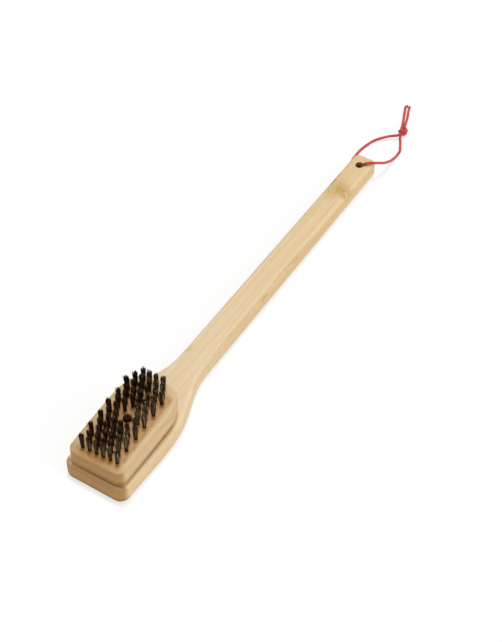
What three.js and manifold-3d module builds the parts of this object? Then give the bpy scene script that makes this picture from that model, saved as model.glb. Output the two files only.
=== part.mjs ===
// Grill brush with a one-piece handle, a screwed-on head block, wire tufts and a hanging cord.
//
// Millimetres. The brush lies on its back: +Z points up through the bristles, +X runs along the
// handle to its far end, and the handle's underside is z = 0. The origin is under the middle of
// the handle. Distances named "from the front" start at the paddle's front edge.

import * as THREE from 'three';
import { mergeVertices } from 'three/addons/utils/BufferGeometryUtils.js';
import Module from 'manifold-3d';

const wasm = await Module();
wasm.setup();

// Handle and paddle, one flat board.
const LENGTH = 457;
const BODY_T = 18;
const BODY_EDGE = 4;
const FRONT_CORNER = 9;
const END_CORNER = 5;
const PADDLE_HALF = 30.6;
const PADDLE_LENGTH = 160;
const NECK_HALF = 13.2;
const GRIP_END_HALF = 11.5;
// Side of the paddle behind its front corner: distance from the front as a share of
// PADDLE_LENGTH, and half width as a share of the way from NECK_HALF to PADDLE_HALF.
const PADDLE_SIDE = [
  [0.19, 1.026],
  [0.35, 1.061],
  [0.48, 1.006],
  [0.59, 0.824],
  [0.7, 0.489],
  [0.794, 0.19],
  [0.881, 0.036],
  [1, 0],
];

// Head block, standing on the paddle.
// The head sits a little to one side of the handle's centre line, and a little askew.
const HEAD_Y = -0.6;
const HEAD_TURN = THREE.MathUtils.degToRad(1);
const BLOCK_FRONT = 2.6;
const BLOCK_STEP = 4;
const BLOCK_HALF = PADDLE_HALF - BLOCK_STEP;
const BLOCK_T = 21.5;
const BLOCK_EDGE = 4;
const BLOCK_CORNER = 7;
const BLOCK_LENGTH = 99.3;
// Side of the block behind its front corner: distance from its front as a share of
// BLOCK_LENGTH, and half width as a share of BLOCK_HALF.
const BLOCK_SIDE = [
  [0.365, 1.025],
  [0.67, 1.035],
  [0.772, 1],
  [0.853, 0.915],
  [0.924, 0.77],
  [0.975, 0.53],
  [0.995, 0.24],
];

// Bristle field: staggered rows, set a little askew on the block.
const FIELD_FRONT_MARGIN = 8;
const FIELD_BACK_MARGIN = 9.1;
const FIELD_SIDE_MARGIN = 10.1;
const FIELD_TURN = THREE.MathUtils.degToRad(3.3);
const ROW_COUNT = 13;
const FULL_ROW = 6;
const OFFSET_ROW = 5;
const LAST_ROW = 4;
// Row and column of the holes left undrilled round the screw.
const UNDRILLED = [[5, 2], [5, 3], [6, 2], [6, 3], [7, 2]];
const TUFT_SIDES = 8;
const TUFT_BASE_R = 1.5;
const TUFT_TIP_R = 2;
const TUFT_LENGTH = 16.3;
const TUFT_CLEAR = 0.3;
const DRAW_WIRE = 1.6;

// Screw through the block into the paddle.
const SCREW_R = 2;
const SCREW_HEAD_R = 3.9;
const SCREW_HEAD_T = 3.4;
const SCREW_BITE = 12;
const SCREW_POINT = 4;
const SCREW_SIDES = 24;
// Pan head: shares of its radius and height, from the rim to the flat top.
const SCREW_DOME = [[1, 0], [1, 0.4], [0.85, 0.8], [0.5, 1]];
const SCREW_CLEAR = 0.3;
const RECESS_LENGTH = 4.4;
const RECESS_WIDTH = 1.1;
const RECESS_DEPTH = 1.5;

// Hang hole and cord.
const HOLE_FROM_END = 15;
const HOLE_R = 4.25;
const HOLE_CHAMFER = 1;
const HOLE_SIDES = 24;
const CORD_R = 1.25;
const CORD_SIDES = 8;
const CORD_CLEAR = 0.25;
const CORD_STEP = 3;
const KNOT_R = 4.2;
const KNOT_GAP = 0.1;
const KNOT_SIDES = 14;
const KNOT_RINGS = 10;
const KNOT_AT = [80.9, -6.3];
// Routes run from the hole's axis: along the brush, across it, and the height as a share of
// BODY_T, where 0 lies on the floor and 1 lies on the handle.
const LOOP_ROUTE = [
  [74.2, -2.6, 0.02],
  [69.3, 2.1, 0],
  [62.4, 7.8, 0],
  [54.5, 12.8, 0],
  [44.8, 16, 0],
  [35.4, 17.6, 0],
  [27, 17.9, 0],
  [19.5, 17.4, 0],
  [13, 15.4, 0],
  [8.4, 11.9, 0],
  [4.8, 6.85, 0],
  [1.3, 1.8, 0],
  [-0.6, -0.9, 0.075],
  [-1.4, -2, 0.26],
  [-1.4, -2, 0.5],
  [-1.4, -2, 0.75],
  [-0.4, -2.9, 0.93],
  [2.1, -5, 1],
  [5.4, -8, 1],
  [8.8, -11.3, 0.975],
  [14.4, -14.4, 0.82],
  [21.6, -16.3, 0.565],
  [29.7, -16.6, 0.295],
  [37.2, -16.9, 0.105],
  [46.5, -17.3, 0.01],
  [55.5, -16.5, 0],
  [65, -12.3, 0],
  [72.3, -8.2, 0.01],
];
const TAIL_ROUTES = [
  [[86, -2.9, 0.04], [90.5, -0.7, 0.02], [96, 1.6, 0], [104, 4.9, 0], [114, 8.8, 0], [120.3, 11.1, 0]],
  [[86.4, -5.2, 0.2], [91.4, -3, 0.1], [97, -1, 0], [105, 1.6, 0], [114, 4.7, 0], [121.6, 7.3, 0]],
];
// The groove under the handle that the cord leaves by runs from the hole towards this point.
const GROOVE_TO = [8.4, 11.9];
const GROOVE_REACH = 24;

const CUT = 1;
const WELD = 1e-4;
const EDGE_STEPS = 3;
const CURVE_STEPS = 3;
const FRONT_X = -LENGTH / 2;
const HOLE_X = LENGTH / 2 - HOLE_FROM_END;
const FIELD_LENGTH = BLOCK_LENGTH - FIELD_FRONT_MARGIN - FIELD_BACK_MARGIN;
const FIELD_X = FRONT_X + BLOCK_FRONT + FIELD_FRONT_MARGIN + FIELD_LENGTH / 2;
const ROW_PITCH = FIELD_LENGTH / (ROW_COUNT - 1);
const COLUMN_PITCH = 2 * (BLOCK_HALF - FIELD_SIDE_MARGIN) / (FULL_ROW - 1);
const BLOCK_TOP = BODY_T + BLOCK_T;
const TUFT_TIP = BLOCK_TOP + TUFT_LENGTH;

const BAMBOO = { color: 0xe0c79c, roughness: 0.55, metalness: 0 };
const BAMBOO_BLOCK = { color: 0xd9bb8b, roughness: 0.55, metalness: 0 };
const WIRE = { color: 0x2e2622, roughness: 0.45, metalness: 0.7 };
const SCREW = { color: 0x33271f, roughness: 0.4, metalness: 0.8 };
const CORD = { color: 0xc8302c, roughness: 0.7, metalness: 0 };

// Welds a three.js geometry and hands it to the solid modeller.
function solid(geometry) {
  const bare = geometry.clone();
  bare.deleteAttribute('normal');
  bare.deleteAttribute('uv');
  const welded = mergeVertices(bare, WELD);
  const vertProperties = new Float32Array(welded.attributes.position.array);
  const triVerts = new Uint32Array(welded.index.array);
  return new wasm.Manifold(new wasm.Mesh({ numProp: 3, vertProperties, triVerts }));
}

function geometryOf(body) {
  const mesh = body.getMesh();
  const geometry = new THREE.BufferGeometry();
  geometry.setAttribute('position', new THREE.BufferAttribute(mesh.vertProperties, 3));
  geometry.setIndex(new THREE.BufferAttribute(mesh.triVerts, 1));
  geometry.computeVertexNormals();
  return geometry;
}

function mesh(name, geometry, look) {
  const material = new THREE.MeshStandardMaterial({ ...look, flatShading: true });
  const made = new THREE.Mesh(geometry, material);
  made.name = name;
  return made;
}

// A plate with rounded edges from an outline, its underside at z = bottom.
function plate(outline, thickness, edge, bottom) {
  const geometry = new THREE.ExtrudeGeometry(outline, {
    depth: thickness - 2 * edge,
    bevelThickness: edge,
    bevelSize: edge,
    bevelOffset: -edge,
    bevelSegments: EDGE_STEPS,
    curveSegments: CURVE_STEPS,
  });
  return geometry.translate(0, 0, bottom + edge);
}

// A cylinder standing on z = bottom.
function post(radius, height, sides, x, y, bottom) {
  const geometry = new THREE.CylinderGeometry(radius, radius, height, sides);
  return geometry.rotateX(Math.PI / 2).translate(x, y, bottom + height / 2);
}

// A turned body about a vertical axis, from radius and height pairs that start and end on it.
function turned(profile, sides, x, y) {
  const points = profile.map(([radius, height]) => new THREE.Vector2(radius, height));
  return new THREE.LatheGeometry(points, sides).rotateX(Math.PI / 2).translate(x, y, 0);
}

const mirrored = (points) => points.map((point) => new THREE.Vector2(point.x, -point.y)).reverse();

function handleOutline() {
  const endX = FRONT_X + LENGTH;
  const right = [new THREE.Vector2(FRONT_X + FRONT_CORNER, -PADDLE_HALF)];
  for (const [along, share] of PADDLE_SIDE) {
    const half = THREE.MathUtils.lerp(NECK_HALF, PADDLE_HALF, share);
    right.push(new THREE.Vector2(FRONT_X + along * PADDLE_LENGTH, -half));
  }
  const left = mirrored(right);
  const quarter = Math.PI / 2;
  const endY = GRIP_END_HALF - END_CORNER;
  const frontY = PADDLE_HALF - FRONT_CORNER;
  const outline = new THREE.Shape();
  outline.moveTo(right[0].x, right[0].y);
  outline.splineThru(right.slice(1));
  outline.lineTo(endX - END_CORNER, -GRIP_END_HALF);
  outline.absarc(endX - END_CORNER, -endY, END_CORNER, -quarter, 0, false);
  outline.absarc(endX - END_CORNER, endY, END_CORNER, 0, quarter, false);
  outline.lineTo(left[0].x, left[0].y);
  outline.splineThru(left.slice(1));
  outline.absarc(FRONT_X + FRONT_CORNER, frontY, FRONT_CORNER, quarter, 2 * quarter, false);
  outline.absarc(FRONT_X + FRONT_CORNER, -frontY, FRONT_CORNER, 2 * quarter, 3 * quarter, false);
  return outline;
}

function blockOutline() {
  const front = FRONT_X + BLOCK_FRONT;
  const right = [new THREE.Vector2(front + BLOCK_CORNER, -BLOCK_HALF)];
  for (const [along, share] of BLOCK_SIDE) {
    right.push(new THREE.Vector2(front + along * BLOCK_LENGTH, -share * BLOCK_HALF));
  }
  const nose = new THREE.Vector2(front + BLOCK_LENGTH, 0);
  const cornerY = BLOCK_HALF - BLOCK_CORNER;
  const outline = new THREE.Shape();
  outline.moveTo(right[0].x, right[0].y);
  outline.splineThru([...right.slice(1), nose, ...mirrored(right)]);
  outline.absarc(front + BLOCK_CORNER, cornerY, BLOCK_CORNER, Math.PI / 2, Math.PI, false);
  outline.absarc(front + BLOCK_CORNER, -cornerY, BLOCK_CORNER, Math.PI, 1.5 * Math.PI, false);
  return outline;
}

// Hang hole, chamfered at both ends.
function hangHole() {
  const flare = HOLE_R + HOLE_CHAMFER + CUT;
  const profile = [
    [0, -CUT],
    [flare, -CUT],
    [HOLE_R, HOLE_CHAMFER],
    [HOLE_R, BODY_T - HOLE_CHAMFER],
    [flare, BODY_T + CUT],
    [0, BODY_T + CUT],
  ];
  return solid(turned(profile, HOLE_SIDES, HOLE_X, 0));
}

// Groove under the handle, deep enough for the cord to lie in without lifting it.
function cordGroove() {
  const width = 2 * (CORD_R + 2 * CORD_CLEAR);
  const height = 2 * (CORD_R + CORD_CLEAR) + CORD_CLEAR + CUT;
  const groove = new THREE.BoxGeometry(GROOVE_REACH, width, height);
  groove.translate(GROOVE_REACH / 2, 0, height / 2 - CUT);
  groove.rotateZ(Math.atan2(GROOVE_TO[1], GROOVE_TO[0]));
  return solid(groove.translate(HOLE_X, 0, 0));
}

// Hole for the screw's shank between two heights.
function screwHole(bottom, top) {
  return solid(post(SCREW_R + SCREW_CLEAR, top - bottom, SCREW_SIDES, FIELD_X, HEAD_Y, bottom));
}

function handle() {
  const board = solid(plate(handleOutline(), BODY_T, BODY_EDGE, 0));
  const pilot = screwHole(BODY_T - SCREW_BITE - SCREW_CLEAR, BODY_T + CUT);
  const drilled = board.subtract(hangHole()).subtract(cordGroove()).subtract(pilot);
  return mesh('handle', geometryOf(drilled), BAMBOO);
}

// Columns of one row, as offsets across the field.
function tuftOffsets(row) {
  const full = row % 2 === 0;
  const count = full ? FULL_ROW : OFFSET_ROW;
  const trim = row === ROW_COUNT - 1 ? (FULL_ROW - LAST_ROW) / 2 : 0;
  const offsets = [];
  for (let column = trim; column < count - trim; column += 1) {
    const undrilled = UNDRILLED.some(([atRow, atColumn]) => atRow === row && atColumn === column);
    if (!undrilled) {
      offsets.push(((count - 1) / 2 - column) * COLUMN_PITCH);
    }
  }
  return offsets;
}

// Runs of tufts that share one drawing wire. The screw splits the middle row in two.
function tuftRuns() {
  const runs = [];
  for (let row = 0; row < ROW_COUNT; row += 1) {
    const along = (row - (ROW_COUNT - 1) / 2) * ROW_PITCH;
    const offsets = tuftOffsets(row);
    if (along === 0) {
      runs.push({ along, offsets: offsets.filter((offset) => offset > 0) });
      runs.push({ along, offsets: offsets.filter((offset) => offset < 0) });
    } else {
      runs.push({ along, offsets });
    }
  }
  return runs;
}

function turnedField(geometry) {
  return geometry.rotateZ(FIELD_TURN).translate(FIELD_X, HEAD_Y, 0);
}

// A bar across the field under all tufts of a run, standing on the paddle.
function runBar(run, width, height, reach, bottom) {
  const first = run.offsets[0] + reach;
  const last = run.offsets[run.offsets.length - 1] - reach;
  const bar = new THREE.BoxGeometry(width, first - last, height);
  return solid(turnedField(bar.translate(run.along, (first + last) / 2, bottom + height / 2)));
}

function tuft(along, offset) {
  const profile = [
    [0, BODY_T + DRAW_WIRE / 2],
    [TUFT_BASE_R, BODY_T + DRAW_WIRE / 2],
    [TUFT_BASE_R, BLOCK_TOP],
    [TUFT_TIP_R, TUFT_TIP],
    [0, TUFT_TIP],
  ];
  return solid(turnedField(turned(profile, TUFT_SIDES, along, offset)));
}

function tuftRow(run, index) {
  let body = runBar(run, DRAW_WIRE, DRAW_WIRE, DRAW_WIRE / 2, BODY_T);
  for (const offset of run.offsets) {
    body = body.add(tuft(run.along, offset));
  }
  return mesh(`tuft_row_${String(index + 1).padStart(2, '0')}`, geometryOf(body), WIRE);
}

function headBlock() {
  const board = plate(blockOutline(), BLOCK_T, BLOCK_EDGE, BODY_T).translate(-FIELD_X, 0, 0);
  let body = solid(board.rotateZ(HEAD_TURN).translate(FIELD_X, HEAD_Y, 0));
  const grooveWidth = DRAW_WIRE + 2 * TUFT_CLEAR;
  const holeR = TUFT_BASE_R + TUFT_CLEAR;
  for (const run of tuftRuns()) {
    body = body.subtract(runBar(run, grooveWidth, grooveWidth + CUT, holeR, BODY_T - CUT));
    for (const offset of run.offsets) {
      const hole = post(holeR, BLOCK_T + 2 * CUT, TUFT_SIDES, run.along, offset, BODY_T - CUT);
      body = body.subtract(solid(turnedField(hole)));
    }
  }
  const drilled = body.subtract(screwHole(BODY_T - CUT, BLOCK_TOP + CUT));
  return mesh('head_block', geometryOf(drilled), BAMBOO_BLOCK);
}

function headScrew() {
  const top = BLOCK_TOP + SCREW_HEAD_T;
  const profile = [
    [0, BODY_T - SCREW_BITE],
    [SCREW_R, BODY_T - SCREW_BITE + SCREW_POINT],
    [SCREW_R, BLOCK_TOP],
    ...SCREW_DOME.map(([radius, height]) => [radius * SCREW_HEAD_R, BLOCK_TOP + height * SCREW_HEAD_T]),
    [0, top],
  ];
  let body = solid(turned(profile, SCREW_SIDES, FIELD_X, HEAD_Y));
  for (const turn of [0, Math.PI / 2]) {
    const slot = new THREE.BoxGeometry(RECESS_LENGTH, RECESS_WIDTH, 2 * RECESS_DEPTH);
    body = body.subtract(solid(slot.rotateZ(turn).translate(FIELD_X, HEAD_Y, top)));
  }
  return mesh('head_screw', geometryOf(body), SCREW);
}

const knotCentre = new THREE.Vector3(HOLE_X + KNOT_AT[0], KNOT_AT[1], KNOT_R);

function cordPoints(route) {
  const rest = CORD_R + CORD_CLEAR;
  return route.map(([along, across, share]) => (
    new THREE.Vector3(HOLE_X + along, across, rest + share * BODY_T)
  ));
}

// Where a strand that comes from a point meets the knot.
function knotEnd(from) {
  return from.clone().sub(knotCentre).setLength(KNOT_R + KNOT_GAP).add(knotCentre);
}

// A round cord through points.
function cord(name, points) {
  const extrudePath = new THREE.CatmullRomCurve3(points, false, 'centripetal');
  const section = new THREE.Shape();
  section.absarc(0, 0, CORD_R, 0, 2 * Math.PI, false);
  const steps = Math.ceil(extrudePath.getLength() / CORD_STEP);
  const options = { steps, extrudePath, curveSegments: CORD_SIDES / 2, bevelEnabled: false };
  return mesh(name, geometryOf(solid(new THREE.ExtrudeGeometry(section, options))), CORD);
}

function cordKnot() {
  const lump = new THREE.SphereGeometry(KNOT_R, KNOT_SIDES, KNOT_RINGS).translate(...knotCentre);
  return mesh('cord_knot', geometryOf(solid(lump)), CORD);
}

function cordLoop() {
  const points = cordPoints(LOOP_ROUTE);
  return cord('cord_loop', [knotEnd(points[0]), ...points, knotEnd(points[points.length - 1])]);
}

function cordTail(route, index) {
  const points = cordPoints(route);
  return cord(`cord_tail_${index + 1}`, [knotEnd(points[0]), ...points]);
}

const brush = new THREE.Group();
brush.name = 'grill_brush';
brush.add(handle(), headBlock(), headScrew());
tuftRuns().forEach((run, index) => brush.add(tuftRow(run, index)));
brush.add(cordLoop(), cordKnot());
TAIL_ROUTES.forEach((route, index) => brush.add(cordTail(route, index)));

export default brush;
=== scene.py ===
"""Grill brush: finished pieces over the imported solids, and the studio stage they are seen on.

Metres, in the solids' own frame: +Z points up through the bristles and +X runs along the handle
to its far end.
"""

import math
import random

import bmesh
import bpy
from bpy.props import FloatProperty, FloatVectorProperty, IntProperty, PointerProperty
from mathutils import Matrix, Vector
from mathutils.geometry import interpolate_bezier


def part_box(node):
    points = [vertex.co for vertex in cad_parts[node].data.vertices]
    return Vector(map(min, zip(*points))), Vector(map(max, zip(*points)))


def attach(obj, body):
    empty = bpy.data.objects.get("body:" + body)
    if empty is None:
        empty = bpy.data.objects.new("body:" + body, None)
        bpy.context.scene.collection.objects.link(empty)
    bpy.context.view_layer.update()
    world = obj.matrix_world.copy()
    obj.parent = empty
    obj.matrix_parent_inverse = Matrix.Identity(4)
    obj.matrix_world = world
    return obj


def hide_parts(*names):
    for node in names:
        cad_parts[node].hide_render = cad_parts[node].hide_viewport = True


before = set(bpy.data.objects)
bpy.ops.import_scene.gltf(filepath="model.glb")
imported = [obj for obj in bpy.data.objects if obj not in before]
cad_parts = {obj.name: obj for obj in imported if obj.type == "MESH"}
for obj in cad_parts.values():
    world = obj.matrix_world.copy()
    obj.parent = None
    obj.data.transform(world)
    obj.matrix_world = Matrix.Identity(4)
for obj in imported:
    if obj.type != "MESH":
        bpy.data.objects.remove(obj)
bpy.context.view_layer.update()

bl_info = {
    "name": "Grill Brush",
    "version": (1, 0, 0),
    "blender": (4, 5, 0),
    "location": "View3D > Sidebar > Grill Brush",
    "description": "Builds a bamboo grill brush with wire bristles and a hanging cord",
    "category": "Object",
}

HANDLE_LOW, HANDLE_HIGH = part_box("handle")
BLOCK_LOW, BLOCK_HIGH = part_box("head_block")
_, TUFT_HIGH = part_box("tuft_row_01")
KNOT_LOW, KNOT_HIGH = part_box("cord_knot")
SCREW_LOW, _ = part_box("head_screw")

TOUCH = 1e-6  # places closer than this are the same
ROUNDING = 1e-9  # slack for a sum of lengths
SHARP_EDGE = math.radians(40)
CURVE_STEPS = 6  # in a rounded edge, or between two points of an outline
CORNER_STEPS = 8  # in a quarter circle
SENSOR_HEIGHT = 24.0  # millimetres

# Side of the paddle behind its front corner: distance from the front as a share of the paddle's
# length, and half width as a share of the way from the neck to the paddle.
PADDLE_SIDE = [
    (0.19, 1.026), (0.35, 1.061), (0.48, 1.006), (0.59, 0.824),
    (0.7, 0.489), (0.794, 0.19), (0.881, 0.036), (1.0, 0.0),
]
# Side of the block behind its front corner: distance from its front as a share of its length,
# and half width as a share of its front half width.
BLOCK_SIDE = [
    (0.365, 1.025), (0.67, 1.035), (0.772, 1.0), (0.853, 0.915),
    (0.924, 0.77), (0.975, 0.53), (0.995, 0.24),
]
# Rows of tufts from front to back. Full and offset rows take turns, and the last row is shorter.
# Holes left undrilled and frayed tufts are given by row and column.
ROW_COUNT = 13
FULL_ROW = 6
OFFSET_ROW = 5
LAST_ROW = 4
UNDRILLED = {(5, 2), (5, 3), (6, 2), (6, 3), (7, 2)}
FRAYED = {(10, 5)}
# A wire's depth in its hole, and the spread of a tuft's lean, a tip's place and a wire's length.
WIRE_SUNK, TUFT_LEAN, TIP_WANDER, TIP_WEAR = 0.003, 0.0004, 0.00017, 0.0008

# The cord's two strands, from the middle of the hang hole to the knot and on to the tail's end:
# along the brush and across it from the hole's axis in metres, and the height as a share of the
# handle's thickness, where 0 lies on the floor and 1 lies on the handle.
STRAND_OVER = [
    (-0.0003, -0.001, 0.45), (0.0, -0.0015, 0.64), (0.0003, -0.0024, 0.82),
    (0.0012, -0.0038, 0.965), (0.003, -0.0058, 1.03), (0.0056, -0.0082, 1.02),
    (0.0088, -0.0113, 0.975), (0.0144, -0.0144, 0.82), (0.0216, -0.0163, 0.565),
    (0.0297, -0.0166, 0.295), (0.0372, -0.0169, 0.105), (0.0465, -0.0173, 0.01),
    (0.0553, -0.0167, 0.0), (0.0598, -0.0147, 0.017), (0.0637, -0.0127, 0.05),
    (0.0672, -0.0108, 0.094), (0.0711, -0.0083, 0.15), (0.08, -0.0068, 0.19),
    (0.0875, -0.0046, 0.18), (0.0907, -0.0035, 0.165), (0.0993, -0.0009, 0.083),
    (0.1065, 0.0017, 0.022), (0.113, 0.0043, 0.0), (0.1186, 0.0064, 0.0),
    (0.1213, 0.0071, 0.0),
]
STRAND_UNDER = [
    (-0.0003, -0.001, 0.45), (-0.0004, -0.0009, 0.24), (-0.0004, -0.0006, 0.075),
    (0.0013, 0.0018, 0.0), (0.0048, 0.00685, 0.0), (0.0084, 0.0119, 0.0),
    (0.013, 0.0154, 0.0), (0.0195, 0.0174, 0.0), (0.027, 0.0179, 0.0),
    (0.0354, 0.0178, 0.0), (0.0448, 0.0162, 0.0), (0.054, 0.0134, 0.022),
    (0.0611, 0.0085, 0.067), (0.0672, 0.0023, 0.122), (0.0704, -0.0023, 0.156),
    (0.0729, -0.0052, 0.172), (0.0805, -0.0062, 0.16), (0.0865, -0.0028, 0.17),
    (0.0895, -0.0014, 0.165), (0.0976, 0.002, 0.083), (0.1061, 0.0056, 0.022),
    (0.1132, 0.0085, 0.0), (0.1176, 0.0103, 0.0), (0.1198, 0.0106, 0.0),
    (0.121, 0.0099, 0.0), (0.1212, 0.009, 0.0),
]
GROOVE_POINT = STRAND_UNDER[5]  # the groove under the handle runs towards it
KNOT_CORD = 0.07  # about the length of cord in the knot, for the pitch of its braid

# Glue lines on the end grain: place across the handle or height in the block above its foot,
# and strength.
HANDLE_JOINTS = [(-0.028, 0.4), (-0.0262, 0.5), (-0.011, 0.15), (0.006, 0.2), (0.0195, 0.15)]
BLOCK_JOINTS = [(0.0184, 0.5), (0.0156, 0.45), (0.0123, 0.4), (0.0055, 0.2)]
# Marks of the cane's nodes on the handle, all as ragged: centre along and across the handle and
# below its top, half size, strength and the colour's name.
RAGGED = 0.9
CANE_MARKS = [
    ((0.1715, 0.003, 0.0), (0.02, 0.014, 0.012), 0.6, "bamboo_node"),
    ((0.173, -0.0055, 0.0), (0.0125, 0.0135, 0.012), 0.6, "bamboo_node"),
    ((0.1745, 0.0015, 0.0), (0.005, 0.0038, 0.012), 0.8, "bamboo_node"),
    ((0.1715, -0.0045, 0.0), (0.005, 0.004, 0.012), 0.85, "bamboo_node"),
    ((0.1665, -0.009, 0.0), (0.0044, 0.0036, 0.012), 0.9, "bamboo_node"),
    ((0.174, -0.0102, 0.0), (0.004, 0.0026, 0.012), 0.6, "bamboo_node"),
    ((0.18, 0.0099, 0.0005), (0.0085, 0.0017, 0.003), 0.95, "dark_mark_and_shade"),
    ((0.1895, 0.0097, 0.0005), (0.005, 0.0014, 0.003), 0.85, "dark_mark_and_shade"),
    ((0.0165, -0.0122, 0.0035), (0.009, 0.002, 0.004), 0.8, "bamboo_node"),
    ((0.0706, -0.0118, 0.0025), (0.008, 0.0016, 0.004), 0.6, "bamboo_node"),
    ((-0.0725, 0.0095, 0.0), (0.006, 0.004, 0.007), 0.5, "bamboo_node"),
    # The last two are long thin stripes, darker and orange, along the rounding of the handle's
    # right edge.
    ((-0.03, -0.0118, 0.0015), (0.07, 0.0012, 0.008), 0.5, "bamboo_node"),
    ((0.06, -0.0113, 0.0015), (0.07, 0.0012, 0.008), 0.5, "bamboo_node"),
]
WARM_TINT = (1.0, 0.95, 0.85)
ANY_HEIGHT = 1.0  # half height of a stain that reaches past the brush
# Even lights: name, which is that of their strength too, width in degrees and direction.
SUNS = [("key", 12, (-0.18, -0.1, -1.0)), ("fill", 60, (-0.1, 1.0, -0.25))]


def number_property(name, description, default, **more):
    """A number."""
    return FloatProperty(name=name, description=description, default=default, **more)


def length_property(name, description, default):
    """A size in metres."""
    return number_property(name, description, default, unit="LENGTH", precision=4)


def angle_property(name, description, degrees):
    """An angle, given in degrees."""
    return number_property(name, description, math.radians(degrees), subtype="ANGLE")


def share_property(name, description, default):
    """A share from 0 to 1."""
    return number_property(name, description, default, subtype="FACTOR", min=0, max=1)


def colour_property(name, description, default):
    """A linear colour."""
    return FloatVectorProperty(
        name=name, description=description, default=default, subtype="COLOR", min=0, max=1
    )


def place_property(name, description, default):
    """A point in metres."""
    return FloatVectorProperty(
        name=name, description=description, default=default, subtype="TRANSLATION", unit="LENGTH"
    )


class HandleSizes(bpy.types.PropertyGroup):
    """Sizes of the handle and its paddle."""

    edge: length_property("Edge", "Radius of the board's rounded edges", 0.004)
    front_corner: length_property("Front corner", "Radius of the paddle's corners", 0.009)
    end_corner: length_property("End corner", "Radius of the far end's corners", 0.005)
    paddle_half: length_property("Paddle half width", "Half width at the front", 0.0306)
    paddle_length: length_property("Paddle length", "From the front to the neck", 0.16)
    neck_half: length_property("Neck half width", "Half width where the grip starts", 0.0132)
    end_half: length_property("End half width", "Half width at the far end", 0.0115)
    hole_from_end: length_property("Hole from end", "Hang hole's axis from the far end", 0.015)
    hole_radius: length_property("Hole radius", "Radius of the hang hole", 0.0039)
    hole_rim: length_property("Hole rim", "Radius of the hang hole's rounded rim", 0.001)


class HeadSizes(bpy.types.PropertyGroup):
    """Sizes of the head block and its screw."""

    offset: length_property("Offset", "Shift of the head across the handle", -0.0006)
    turn: angle_property("Turn", "Turn of the block on the paddle", 1.0)
    front: length_property("Front", "Paddle's front to the block's front", 0.0026)
    length: length_property("Length", "Length of the block", 0.0993)
    half: length_property("Half width", "Half width at the block's front", 0.0266)
    corner: length_property("Corner", "Radius of the front corners", 0.007)
    edge: length_property("Edge", "Radius of the upper edge", 0.004)
    foot: length_property("Foot", "Deepest bevel under the block's sides", 0.0058)
    foot_front: share_property("Foot at the front", "Share of the bevel at the front", 0.58)
    screw_head: length_property("Screw head", "Radius of the screw's pan head", 0.0039)
    screw_height: length_property("Screw height", "Height of the screw's pan head", 0.0034)
    screw_shank: length_property("Screw shank", "Radius of the screw's shank", 0.002)


class TuftSizes(bpy.types.PropertyGroup):
    """Sizes of the bristle field and its wires."""

    front_margin: length_property("Front margin", "Block's front to the first row", 0.008)
    back_margin: length_property("Back margin", "Last row to the block's back", 0.0091)
    side_margin: length_property("Side margin", "Block's side to the outer tufts", 0.0101)
    turn: angle_property("Turn", "Turn of the field on the block", 3.3)
    wires: IntProperty(name="Wires", description="Wires in a tuft", default=60, min=7)
    wire_radius: length_property("Wire radius", "Radius of one wire", 0.00019)
    base_radius: length_property("Base radius", "Radius of a tuft at the block", 0.0013)
    tip_radius: length_property("Tip radius", "Radius of a tuft at its tip", 0.0021)
    hole_radius: length_property("Hole radius", "Radius of a tuft's hole", 0.0016)
    seed: IntProperty(name="Seed", description="Seed of the wires' spread", default=7)


class CordSizes(bpy.types.PropertyGroup):
    """Sizes of the hanging cord."""

    diameter: length_property("Diameter", "Cord's diameter", 0.0027)
    rest: length_property("Rest height", "Centre line's height on the floor", 0.0015)
    spacing: length_property("Spacing", "Distance between points of the strands", 0.0012)


class FinishColours(bpy.types.PropertyGroup):
    """Colours of the finishes."""

    bamboo_light: colour_property("Bamboo light", "Pale cane", (0.77, 0.615, 0.415))
    bamboo_dark: colour_property("Bamboo dark", "Cane's darker streaks", (0.62, 0.43, 0.21))
    block_light: colour_property("Block light", "Pale cane of the block", (0.69, 0.525, 0.315))
    block_dark: colour_property("Block dark", "Block's darker streaks", (0.52, 0.34, 0.15))
    bamboo_aged: colour_property("Bamboo aged", "Tint of the grip's far end", (0.97, 0.93, 0.8))
    # End grain's brown, also used as painted shade on the front faces and on the paddle's front
    # lip.
    bamboo_end_and_shade: colour_property("Bamboo end", "End grain of the cane", (0.46, 0.24, 0.068))
    bamboo_node: colour_property("Bamboo node", "Orange of the nodes", (0.49, 0.28, 0.065))
    # Real dark marks and glue lines, also used as painted shade in the hang hole, crease, toe and
    # block front.
    dark_mark_and_shade: colour_property("Bamboo mark", "Dark brown marks", (0.16, 0.075, 0.022))
    # Painted shade in the crease under the block.
    bed_shade: colour_property("Bamboo bed", "Stain under the block", (0.55, 0.27, 0.04))
    # Painted shade on the block's top among and in front of the tufts.
    tuft_shade: colour_property("Bamboo soot", "Stain among the tufts", (0.45, 0.195, 0.035))
    wire_dark: colour_property("Wire dark", "Darkest wires", (0.036, 0.0125, 0.003))
    wire_grey: colour_property("Wire grey", "Greyest wires", (0.68, 0.515, 0.33))
    wire_foot: colour_property("Wire foot", "Wires at the block", (0.06, 0.024, 0.005))
    screw: colour_property("Screw", "Blackened steel", (0.014, 0.005, 0.001))
    # Painted highlight on the screw head.
    screw_sheen: colour_property("Screw worn", "Rubbed steel", (0.12, 0.045, 0.016))
    cord: colour_property("Cord", "Red cord", (0.70, 0.065, 0.06))
    # Painted shade on the cord in the hang hole.
    cord_hole_shade: colour_property("Cord soiled", "Cord by the hang hole", (0.13, 0.015, 0.006))
    floor: colour_property("Floor", "Pale floor", (0.85, 0.85, 0.85))


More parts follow.
